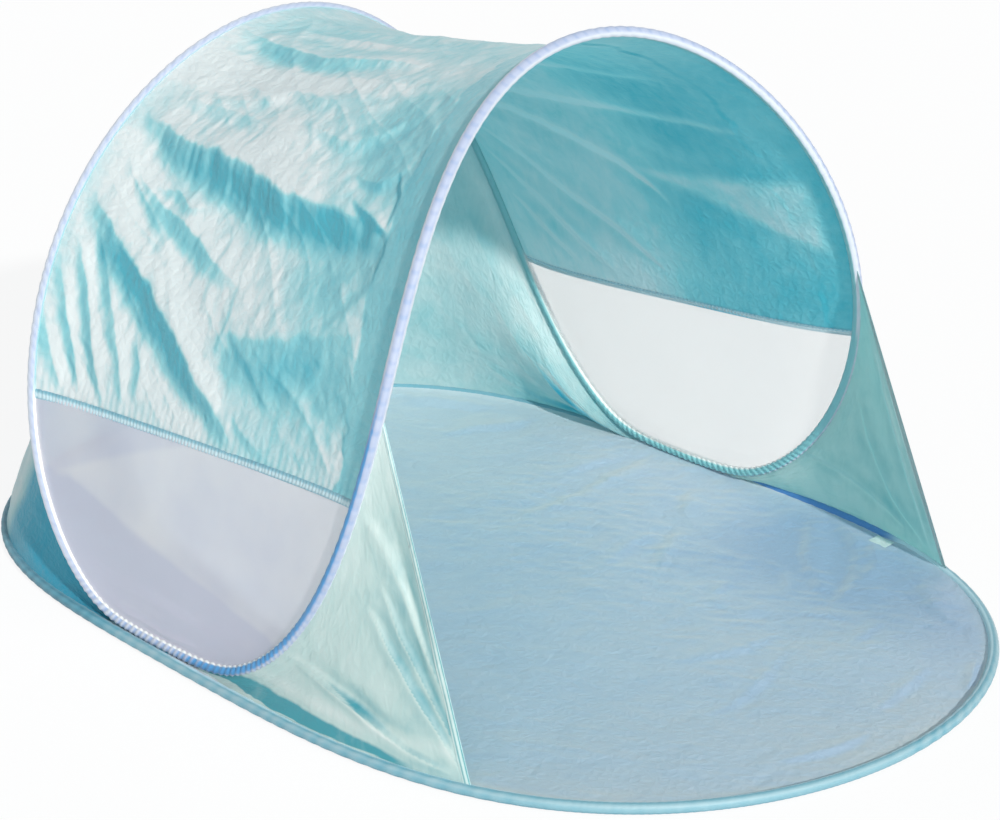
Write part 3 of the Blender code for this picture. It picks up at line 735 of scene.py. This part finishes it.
# Roof: its folds are laid through (station, across) places on the canopy
ROOF_FOLDS = (
    # The great slump along the side, and the slack that hangs from it
    (((-4.75, 0.97), (-4.86, 0.9), (-5.05, 0.78), (-5.2, 0.62), (-5.5, 0.49), (-5.65, 0.36), (-5.66, 0.25),
      (-5.76, 0.1)), 17, 65, 85, 90, 0.5),
    (((-1.45, 0.99), (-1.5, 0.91), (-1.6, 0.82), (-1.65, 0.74), (-1.85, 0.66), (-1.7, 0.57), (-1.45, 0.48),
      (-1.5, 0.34)), 6, 50, 45, 60, 0.38),
    (((-6.8, 0.97), (-7.35, 0.88), (-7.82, 0.78), (-8.43, 0.69), (-9, 0.61), (-9.56, 0.53), (-10.1, 0.46),
      (-10.8, 0.39)), 7.5, 35, 70, 50, 0.55),
    (((-6, 0.9), (-6.42, 0.83), (-6.62, 0.76), (-6.7, 0.71), (-7, 0.65), (-7.35, 0.58), (-7.7, 0.49)),
     4, 30, 45, 40, 0.34),
    (((-6.3, 0.83), (-6.15, 0.77), (-6.45, 0.71), (-6.3, 0.66)), 1.6, 20, 22, 20, 0.22),
    # Gathers beside the rear arch
    (((-9.2, 1), (-10.1, 0.965), (-10.9, 0.92)), 2.2, 20, 28, 18, 0.26),
    (((-8.2, 0.99), (-9.1, 0.945), (-10, 0.9), (-10.9, 0.87)), 2.4, 20, 28, 18, 0.28),
    (((-7.9, 0.95), (-8.9, 0.885), (-9.85, 0.845), (-10.9, 0.8)), 2.6, 20, 30, 20, 0.28),
    (((-7.4, 0.92), (-8.5, 0.845), (-9.4, 0.785), (-10.8, 0.73)), 2.4, 20, 32, 22, 0.24),
    (((-9.2, 0.74), (-9.9, 0.7), (-10.7, 0.69)), 1.8, 20, 28, 20, 0.22),
    # The pressed crease and the smooth cloth under it
    (((-8.75, 0.55), (-8.6, 0.49), (-8.38, 0.4), (-8, 0.23), (-7.8, 0.11)), 3, 30, 100, 100, 0.26),
    (((-7.4, 0.49), (-8.3, 0.475), (-9.1, 0.49)), 0.9, 12, 12, 14, 0.06),
    (((-8.5, 0.47), (-9.14, 0.37), (-9.8, 0.31)), 1.4, 20, 22, 25, 0.06),
    (((-10.2, 0.4), (-10.7, 0.32), (-10.9, 0.26)), 1.2, 16, 20, 20, 0.06),
    (((-6.7, 0.1), (-7.5, 0.17), (-8, 0.22)), 1, 20, 20, 20, 0.05),
    # Pale pulls over the top
    (((-3.9, 0.84), (-3.6, 0.71), (-3, 0.64), (-3.2, 0.5), (-2.8, 0.38)), 3, 30, 40, 40, 0.16),
    (((-4.4, 0.95), (-4.05, 0.87), (-4, 0.74), (-4.3, 0.57)), 2.5, 30, 40, 40, 0.14),
    (((-4, 0.5), (-4.15, 0.37), (-3.85, 0.29), (-3.3, 0.22)), 3, 20, 30, 30, 0.1),
    (((-3, 0.84), (-3.4, 0.7), (-3.5, 0.6)), 2.2, 20, 30, 30, 0.1),
    (((-2.6, 0.9), (-2.5, 0.66), (-2.3, 0.42), (-2.3, 0.22)), 3, 50, 50, 60, -0.12),
    (((0.4, 0.92), (0.2, 0.74), (0.5, 0.55), (0.3, 0.36), (0.6, 0.16)), 4, 50, 60, 70, 0.1),
    (((-0.5, 0.86), (-0.4, 0.66), (-0.6, 0.44)), 3, 30, 40, 50, -0.16),
    (((-4.6, 0.16), (-5.1, 0.12), (-5.8, 0.12)), 2.2, 12, 14, 16, 0.25),
    (((-5.4, 0.25), (-5.6, 0.18), (-5.85, 0.12)), 2.8, 12, 18, 18, 0.3),
    (((-4.9, 0.28), (-4.9, 0.2), (-4.5, 0.14)), 2.5, 20, 22, 20, 0.2),
    # The far side, where the pulls fan out from the rear arch
    (((3, 0.96), (3.4, 0.72), (3.6, 0.46), (3.9, 0.18)), 3, 50, 50, 60, -0.15),
    (((5.2, 0.96), (5.35, 0.76), (5.42, 0.47), (5.5, 0.23), (5.8, 0.1)), 4, 40, 40, 60, -0.12),
    (((6, 0.95), (6.2, 0.79), (6.7, 0.66), (7.3, 0.52), (8.2, 0.42)), 4, 30, 35, 50, -0.28),
    (((7.2, 0.95), (7.7, 0.85), (8.6, 0.75), (9.4, 0.6), (10.3, 0.5)), 3, 20, 22, 30, -0.26),
    (((8.1, 0.96), (8.8, 0.88), (9.8, 0.78), (10.8, 0.66)), 2.5, 20, 20, 20, -0.26),
    (((9.2, 0.94), (10.1, 0.85), (10.9, 0.76)), 2, 16, 16, 20, -0.22),
    (((6.3, 0.45), (6.9, 0.33), (7.8, 0.22), (9, 0.1)), 1.5, 50, 60, 60, 0),
)


def metric(station, across):
    """Rough distances along and across the canopy, in metres."""
    return station * STATION_LENGTH, across * (CANOPY_WIDTH + CROWN_WIDTH * (1 - (station / QUARTER) ** 2))


def taut_shadowed_strip(station, across):
    """1 in the taut strip of cloth along the front arch, with an uneven edge; on the near side it gets the
    hoop's painted shadow.
    """
    x, y = metric(station, across)
    width = 0.055 + 0.048 * rise(11 - np.abs(station), 4.5) + 0.006 * noise(x / 0.05, 0 * y, 41)
    width += 0.006 * noise(x / 0.018, 0 * y, 42)
    return rise(width + 0.004 - y, 0.008)


def roof_painted_shade(station, across):
    """Painted shade on parts of the roof beyond their relief: over the far side's front half, under the
    pressed crease, over the front half of the near side, by the crown and on the plateau, and, below 0,
    painted light on a patch towards the rear arch.
    """
    smooth_part = smooth(-station, 8.2, 8.9) * smooth(across, 0.05, 0.14) * rise(0.52 - across, 0.1)
    plateau = smooth(-station, 2.6, 3.4) * rise(5.1 + station, 0.5) * rise(0.88 - across, 0.2)
    low_front = smooth(-station, 1.5, 3.0) * rise(10.4 + station, 1.5)
    low_front *= rise(0.45 - across, 0.25)
    crown = smooth(station, -1.6, -0.8) * rise(3.0 - station, 1.0)
    pale = smooth(-station, 2.1, 2.7) * rise(3.9 + station, 0.5) * smooth(across, 0.5, 0.7)
    far_side = smooth(station, 1.0, 4.0) * rise(0.62 - across, 0.35)
    painted_shade = 0.16 * smooth_part + 0.04 * plateau + 0.22 * low_front + 0.16 * crown
    return painted_shade - 0.24 * pale + 0.58 * far_side


def roof_lift(station, across):
    """The roof's relief, and the painted shade, painted light below 0, laid on its tone beyond what the
    relief gives.
    """
    x, y = metric(station, across)
    share = station / SEAM
    strokes, painted_shade = fold_lift(x, y, ROOF_FOLDS, metric)
    warp = 0.35 * noise(x / 0.16, y / 0.16, 31)
    broad = 0.004 * noise(x / 0.21 + warp, y / 0.26, 32) + 0.002 * noise(x / 0.1, y / 0.12 + warp, 33)
    crumpled = 0.0026 * (facets(x / 0.095 + warp, y / 0.17 + 0.5 * warp, 34) - 0.4)
    crumpled += 0.0012 * (facets(x / 0.048 + warp, y / 0.04, 35) - 0.4)
    fine = 0.0014 * (creases(x / 0.06 + warp, y / 0.05, 36) - 0.5)
    along, beside = -0.55 * x - 0.83 * y, 0.83 * x - 0.55 * y
    pulls = 0.004 * (creases(beside / 0.085 + warp, along / 0.34, 39, 2) - 0.5)
    calm = 0.3 + 0.7 * smooth(-station, -5.0, 2.0)
    crumpled, fine = (crumpled + pulls) * calm, fine * calm
    edge = rise(across, 0.1) * rise(1 - across, 0.1)
    seam = rise(1 - np.abs(share), 0.05)
    gather = np.sin(math.tau * (x + 0.004 * noise(x / 0.03, y / 0.2, 37)) / 0.019)
    gather = 0.0003 * calm * gather * (np.exp(-across / 0.05) + np.exp(-(1 - across) / 0.05))
    gather = gather * rise(across, 0.01) * rise(1 - across, 0.01)
    pleats = np.sin(math.tau * (y + 0.004 * noise(x / 0.1, y / 0.03, 38)) / 0.016)
    pleats = 0.0004 * calm * pleats * np.exp(-(1 - np.abs(share)) / 0.06)
    strip = taut_shadowed_strip(station, across)
    lift = (strokes + broad + crumpled + fine) * edge * (1 - 0.8 * strip) * (0.3 + 0.7 * seam)
    lift = lift + gather + pleats
    lower, upper = 9.1 - 3.6 * across, 6.7 + 0.8 * across
    hatched = rise(station - upper, 0.4) * rise(lower - station, 0.4)
    hatched *= smooth(across, 0.02, 0.07)
    hatch = creases((x - 0.7 * y) / 0.03, (y + 0.7 * x) / 0.12, 44, 2) - 0.4
    lift = lift + 0.0016 * hatched * hatch
    # Painted shade from the folds and the roof's zones, painted paler in the hatched wedge; on the near side
    # the strip along the front arch gets the hoop's painted shadow in their place
    painted_shade = (painted_shade + roof_painted_shade(station, across) - 0.42 * hatched) * (1 - strip * rise(-station, 2.0))
    return lift, painted_shade + 0.44 * strip * smooth(-station, -1.0, 2.0) - 0.24


def lay(surface, station, across, extra):
    point, normal, lift = surface(station, across)
    return point + normal * (lift + extra)[..., None]


def sewn(name, points, tone, material, slot, *nodes):
    """A cloth as a dressed mesh, with its distances measured on itself."""
    return dress(grid_mesh(name, points, arc_uvs(points), tone), material, slot, *nodes)


def cloth_on(surface, station, across, extra, spread, lean):
    """The points of a cloth with its relief, and its tone of painted light and shade."""
    points = lay(surface, station, across, extra)
    return points, relief(points, lay(surface, station, across, 0 * extra), extra, spread, lean)


station, across = grid((-SEAM, SEAM, 460), (0, 1, 214))
extra, painted_shade = roof_lift(station, across)
points, tone = cloth_on(canopy, station, across, extra, 0.12, 1.2)
roof = sewn("canopy_roof_cloth", points, tone + painted_shade, roof_material, "roof_cloth", "canopy_roof")

# Windows and their seams
WINDOW_FOLDS = (
    (((14.2, 0.94), (14.67, 0.855), (14.84, 0.684), (15.38, 0.366)), 1.4, 20, 30, 30, 0.4),
    (((14.9, 0.96), (15.54, 0.92), (16.2, 0.7), (16.4, 0.4)), 1.6, 20, 34, 30, 0.55),
    (((16.2, 0.95), (17, 0.8), (17.3, 0.5), (17.3, 0.2)), 1.2, 16, 24, 20, 0.4),
)
# The line across the left window, from the front arch to the rear one, below which the tent's dim inside is
# painted in as shade seen through the net
SHADE_ACROSS = (0.028, 0.286, 0.516, 0.747, 0.915)
SHADE_STATIONS = (14.86, 14.41, 13.76, 13.07, 12.44)
for side, word, material in ((-1, "left", left_window), (1, "right", right_window)):
    station, across = grid((SEAM + 0.06, 17.93, 130), (0, 1, 110))
    x, y = metric(station, across)
    edge = rise(across, 0.12) * rise(1 - across, 0.12) * rise(18 - station, 1.5)
    soft = 0.0035 * noise(x / 0.16, y / 0.3, 51 + side) + 0.0012 * noise(x / 0.05, y / 0.14, 53 + side)
    slack, painted_shade = fold_lift(x, y, WINDOW_FOLDS, metric)
    extra = (soft + slack * (1 if side < 0 else 0.15)) * edge
    points, tone = cloth_on(canopy, side * station, across, extra, 0.02, 1.5)
    if side < 0:
        # Painted shade of the tent's dim inside seen through the net below the line, painted shade on the
        # folds' drops, and a deeper tone in the corner between the seam and the rear arch
        inside_shade = smooth(station - np.interp(across, SHADE_ACROSS, SHADE_STATIONS), -0.1, 0.16)
        corner = rise(across - 0.45 - 0.33 * (station - 11), 0.06) * rise(13 - station, 0.5)
        tone = tone + 0.4 * inside_shade + painted_shade + 0.26 * corner
    window = sewn("window_cloth_" + word, points, tone, material, "window_mesh", "window_" + word)

    station, across = grid((*SEAM_CLOTH, 9), (0, 1, 420))
    x, y = metric(station, across)
    share = (station - SEAM_CLOTH[0]) / (SEAM_CLOTH[1] - SEAM_CLOTH[0])
    rounded = np.maximum(np.sin(math.pi * share), 0) ** 0.5
    ruffle = np.sin(math.tau * (y + 0.002 * noise(x, y / 0.02, 61 + side)) / 0.0085)
    extra = 0.0016 * rounded + 0.0007 * ruffle * rounded
    points = lay(canopy, side * station, across, extra)
    # Painted light and shade round the band's rounded face and in its ruffles
    shade = 0.46 - 0.14 * ruffle * rounded + 0.34 * np.cos(math.tau * (share - 0.1))
    name = "window_seam_" + word
    band = sewn(name, points, shade, band_material, "gathered_band", "window_band_" + word)

# Rear wall, with painted sunlight in the middle where the sun falls through the mouth, painted shade over its
# left side and a little in the low pocket on its right
station, across = grid((-17.6, 17.6, 360), (0, 1, 150))
off_middle = np.abs(station)
x, y = station * 0.08, across * 0.62
extra = 0.006 * noise(x / 0.22, y / 0.18, 71) + 0.003 * noise(x / 0.09, y / 0.08, 72)
extra += 0.0035 * (facets(x / 0.16, y / 0.13, 73) - 0.4)
extra = extra * rise(across, 0.12) * rise(1 - across, 0.12) * rise(17.0 - off_middle, 4.5)
points, tone = cloth_on(rear_wall, station, across, extra, 0.05, 1.0)
tone = 0.5 + (tone - 0.55) * rise(16.0 - off_middle, 3.0)
# Painted shade over the left side and in the low pocket on the right, painted sunlight in the middle
tone = tone + 0.08 * smooth(station, 11.0, 13.0) + 0.95 * smooth(-station, 8.5, 10.5)
tone -= 0.1 * smooth(across, 0.3, 0.5) * rise(11.5 - off_middle, 2.0)
wall = sewn("rear_wall_cloth", points, tone, wall_material, "rear_wall_cloth", "rear_wall")

# Gussets at the mouth, with a turned and stitched hem along the free edge
# Folds in (y, z) millimetres, drawn towards the foot
GUSSET_FOLDS = (
    (((-385, 235), (-425, 182), (-474, 128), (-531, 75), (-585, 22)), 3.4, 18, 14, 20, 0.5),
    (((-405, 270), (-446, 198), (-495, 135), (-547, 81), (-588, 28)), 3, 16, 14, 20, 0.4),
    (((-430, 290), (-477, 206), (-522, 142), (-554, 90), (-584, 40)), 2.6, 14, 12, 18, 0.3),
    (((-250, 100), (-329, 86), (-394, 69), (-464, 46), (-506, 36), (-564, 26)), 3.6, 14, 12, 18, 0.5),
    (((-220, 110), (-293, 102), (-361, 82), (-415, 60), (-471, 47)), 2.4, 12, 12, 16, 0.26),
    (((-330, 420), (-400, 330), (-450, 250), (-500, 165)), 2.6, 20, 18, 30, 0.16),
    # Painted shade where the cloth turns under along the foot, above the rim
    (((30, 12), (-100, 16), (-200, 19), (-322, 20), (-404, 19), (-500, 16)), 1.2, 10, 20, 10, 1.4),
)
RIGHT_GUSSET_FOLDS = (
    (((-423, 409), (-458, 326), (-499, 229), (-539, 131), (-572, 20)), 3, 14, 14, 20, -0.4),
    (((-415, 373), (-444, 269), (-489, 151), (-543, 33)), 3, 14, 14, 20, -0.36),
    (((-355, 270), (-381, 187), (-439, 90), (-528, 30)), 3, 16, 14, 20, 0.3),
    (((-515, 185), (-551, 96), (-572, 26)), 2.4, 12, 12, 16, -0.34),
    (((-220, 110), (-293, 102), (-361, 82), (-471, 47)), 3, 14, 14, 18, 0.26),
)
for side, word in ((-1, "left"), (1, "right")):
    station, across = grid((GUSSET_EDGE, 17.6, 150), (0, 1, 150))
    x, y = (station - GUSSET_EDGE) * 0.055, across * 0.52
    panel = partial(gusset, side)
    plain = lay(panel, station, across, 0 * station)
    plain_y, plain_z = plain[..., 1], plain[..., 2]
    extra, painted_shade = fold_lift(plain_y, plain_z, GUSSET_FOLDS if side < 0 else RIGHT_GUSSET_FOLDS)
    extra += 0.002 * noise(x / 0.12, y / 0.16, 83 + side)
    extra += 0.001 * (creases(x / 0.1, y / 0.12, 85) - 0.5)
    extra = extra * rise(across, 0.04) * rise(1 - across, 0.12)
    extra = extra * smooth(station, GUSSET_EDGE, GUSSET_EDGE + 0.6) * rise(17.6 - station, 1.5)
    points, tone = cloth_on(panel, station, across, extra, 0.04, 0.8)
    tone += painted_shade
    # A painted highlight along a strip of the left gusset just above the rim
    if side < 0:
        tone -= 0.25 * bell(plain_z - 0.056, 0.012) * smooth(-plain_y, 0.12, 0.22)
    name = "gusset_cloth_" + word
    cloth = sewn(name, points, tone, gusset_material, "gusset_cloth", "gusset_" + word)

    inner = unit(points[6] - points[0])
    normal = panel(np.full(150, GUSSET_EDGE), np.linspace(0, 1, 150))[1]
    share = np.linspace(0, 1, 10)[:, None]
    rounded = np.maximum(np.sin(math.pi * share), 0) ** 0.6 + 0.25 * np.sin(4 * math.pi * share) ** 2
    hem_points = points[0][None] + inner[None] * (HEM * share)[..., None] - inner[None] * 0.001
    hem_points = hem_points + normal[None] * (0.0014 * rounded)[..., None]
    # Painted shade in the hem's turned fold, a darker stitched line, and more painted shade on the right hem,
    # which lies in shade
    fold, stitches = bell(share - 0.12, 0.1), bell(share - 0.62, 0.09)
    shade = 0.2 + 0.8 * fold + 0.75 * stitches + (0.25 if side > 0 else 0.0) + 0 * hem_points[..., 0]
    name = "gusset_hem_cloth_" + word
    hem = sewn(name, hem_points, shade, hem_material, "hem_cloth", "gusset_hem_" + word)

# Groundsheet, with its folds in (x, y) millimetres
SHEET_FOLDS = (
    (((600, 130), (490, 117), (337, 90), (258, 89), (190, 98)), 3.6, 30, 32, 42, 0.34),
    (((444, 711), (496, 616), (537, 534)), 3.6, 30, 48, 42, -0.3),
    (((359, 509), (454, 478), (548, 434)), 3.1, 30, 48, 42, 0.16),
    (((378, 192), (479, 191), (560, 172)), 2.9, 30, 32, 28, 0.2),
    (((508, -31), (423, -101), (385, -160)), 2.9, 21, 26, 28, 0.22),
    (((379, -132), (290, -188), (200, -237)), 2.6, 21, 26, 28, 0.22),
    (((144, -163), (248, -126), (319, -123)), 2.2, 21, 26, 28, 0.16),
    (((384, -320), (352, -400), (302, -460)), 2.6, 21, 26, 28, 0.22),
    (((560, -280), (430, -385), (340, -495)), 4.8, 36, 35, 42, 0.3),
    (((600, -310), (524, -427), (402, -510), (320, -530)), 5.3, 39, 35, 42, 0.34),
    (((560, -420), (492, -487), (430, -510)), 3.6, 27, 29, 28, 0.3),
    (((500, -580), (440, -650), (403, -720)), 3.1, 30, 32, 42, 0.22),
    (((200, -370), (270, -352)), 1.7, 15, 16, 17, 0.2),
    (((-40, -500), (36, -529), (93, -543), (180, -544)), 1.7, 15, 16, 17, 0.2),
    (((-135, -654), (-73, -660), (29, -632), (128, -594)), 1.9, 15, 16, 17, 0.22),
    (((220, -650), (320, -632)), 1.7, 15, 16, 17, 0.2),
    (((70, -822), (157, -804), (250, -783)), 1.9, 15, 19, 17, 0.2),
    (((-160, -831), (-74, -858), (10, -863)), 2.2, 15, 19, 20, 0.22),
    (((230, -875), (315, -830)), 3.6, 18, 22, 20, 0.6),
)
edge = rim(np.linspace(0.0, math.pi, 330))
share = np.linspace(-1, 1, 230)[None, :]
half = np.maximum(edge[:, 0] - SHEET_INSET, 0.002)[:, None]
end = FLOOR_HALF[1] - SHEET_INSET
y = np.clip(edge[:, 1], -end, end)[:, None] + 0 * share
x = half * share
rim_gap = np.minimum(half * (1 - np.abs(share)), np.minimum(y - y[0, 0], y[-1, 0] - y))
broad = 0.0024 * noise(x / 0.2, y / 0.24, 91) + 0.0012 * noise(x / 0.08, y / 0.1, 92)
warp = 0.4 * noise(x / 0.2, y / 0.2, 94)
wrinkle = 0.004 * (creases((x + 0.6 * y) / 0.16 + warp, (y - 0.6 * x) / 0.34, 93) - 0.3)
wrinkle += 0.0018 * (creases(x / 0.07 + warp, y / 0.06, 95) - 0.4)
crumple = smooth(x, -0.1, 0.2) * rise(0.35 - y, 0.2) * rise(0.75 + y, 0.2)
finest = noise((x + 0.8 * y) / 0.019 + 2 * warp, (y - 0.8 * x) / 0.042, 96)
wrinkle = wrinkle * (0.5 + 0.5 * crumple) + 0.0011 * (0.3 + 0.7 * crumple) * finest
folds, painted_shade = fold_lift(x, y, SHEET_FOLDS)
lift = (broad + wrinkle + folds + 0.003) * rise(rim_gap, 0.05)
strip = right_edge(x, y, 0.02)
z = 0.0012 + np.maximum(lift, 0.0) + (0.0135 - 0.0045 * strip) * np.exp(-rim_gap / SHEET_EDGE)
points = column(x, y, z)
# Painted shade in the hollows and painted light on folds turned to the light, faded out at the rim
tone = relief(points, column(x, y, 0 * z), lift - 0.003, 0.05, 1.9)
tone = 0.5 + (np.minimum(tone, 0.7) - 0.5) * smooth(rim_gap, 0.004, 0.02)
# Painted light towards the rear, where the tent's shadow falls, and along the raised edge, painted shade on
# the folds' drops, and darker towards the right front
tone = tone - 0.22 * smooth(y, -0.2, 0.6) + 0.12 * np.minimum(painted_shade, 1.0)
tone = tone - 0.5 * np.exp(-rim_gap / 0.018) + 0.42 * smooth(x, 0.15, 0.45) * smooth(-y, 0.1, 0.3)
sheet = grid_mesh("groundsheet_cloth", points, column(x, y), tone)
dress(sheet, sheet_material, "groundsheet_cloth", "groundsheet_rear", "groundsheet_front")

# Blank tab sewn beside the rim, on the sheet's raised edge
low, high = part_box("floor_tab")
middle = (np.array(low) + np.array(high)) / 2
turn = math.radians(80)
u, v = grid((-0.021, 0.021, 24), (-0.02, 0.02, 24))
x = middle[0] + u * math.cos(turn) - v * math.sin(turn)
y = middle[1] + u * math.sin(turn) + v * math.cos(turn)
order = np.argsort(edge[:, 1])
tab_gap = np.maximum(np.interp(y, edge[order, 1], edge[order, 0]) - SHEET_INSET - x, 0.0)
z = 0.006 + 0.01 * np.exp(-tab_gap / SHEET_EDGE) + 0.0012 * noise(u / 0.02, v / 0.02, 99)
points = column(x, y, z)
tab = sewn("floor_tab_cloth", points, 0 * x, hem_material, "tab_cloth", "floor_tab")

# Camera at the photograph's viewing angle
azimuth, elevation = math.radians(-42.8989), math.radians(20.6717)
level = math.cos(elevation)
back = Vector((math.sin(azimuth) * level, -math.cos(azimuth) * level, math.sin(elevation)))
right = Vector((math.cos(azimuth), math.sin(azimuth), 0))
up = back.cross(right)
camera = linked("camera", bpy.data.cameras.new("camera"))
turned = Matrix((right, up, back)).transposed().to_4x4()
camera.matrix_world = Matrix.Translation(back * 4.2851 + right * 0.0402 + up * 0.2671) @ turned
camera.data.sensor_width = 36.0
camera.data.lens = 36.0 * 2.4697553
camera.data.clip_start, camera.data.clip_end = 0.05, 100.0
bpy.context.scene.camera = camera

# Floor, world and lamps. Floor and world look white, and give the cloth less light than they show
nodes = Nodes(bpy.data.materials.new("pale_floor"))
matt = {"Base Color": (0.97, 0.97, 0.97, 1.0), "Roughness": 0.9, "Specular IOR Level": 0.1}
plain = nodes.add("BsdfPrincipled", matt)
white = nodes.add("Emission", {"Color": WHITE, "Strength": 1.0})
share = nodes.math("MULTIPLY", nodes.seen(), 0.88)
floor = grid_mesh("floor", column(*grid((-14.0, 14.0, 2), (-14.0, 14.0, 2)), -0.0015))
floor.data.materials.append(nodes.finish(nodes.both(share, plain, white)))

sky = Nodes(bpy.data.worlds.new("studio"))
soft = sky.add("Background", {0: (0.84, 0.94, 1.0, 1.0), 1: 0.34})
white = sky.add("Background", {0: WHITE})
bpy.context.scene.world = sky.finish(sky.both(sky.seen(), soft, white), "OutputWorld")


def sun(name, towards, strength, angle, colour):
    lamp = bpy.data.lights.new(name, "SUN")
    lamp.energy = strength
    lamp.angle = math.radians(angle)
    lamp.color = colour
    obj = linked(name, lamp)
    obj.rotation_mode = "QUATERNION"
    obj.rotation_quaternion = Vector(towards).to_track_quat("Z", "Y")


sun("key", (-0.2, -0.848, 0.492), 3.2, 2.5, (1.0, 0.985, 0.955))
sun("fill", (-0.76, -0.52, 0.4), 0.75, 40, (1.0, 1.0, 1.0))

bpy.context.scene.view_settings.view_transform = "Standard"
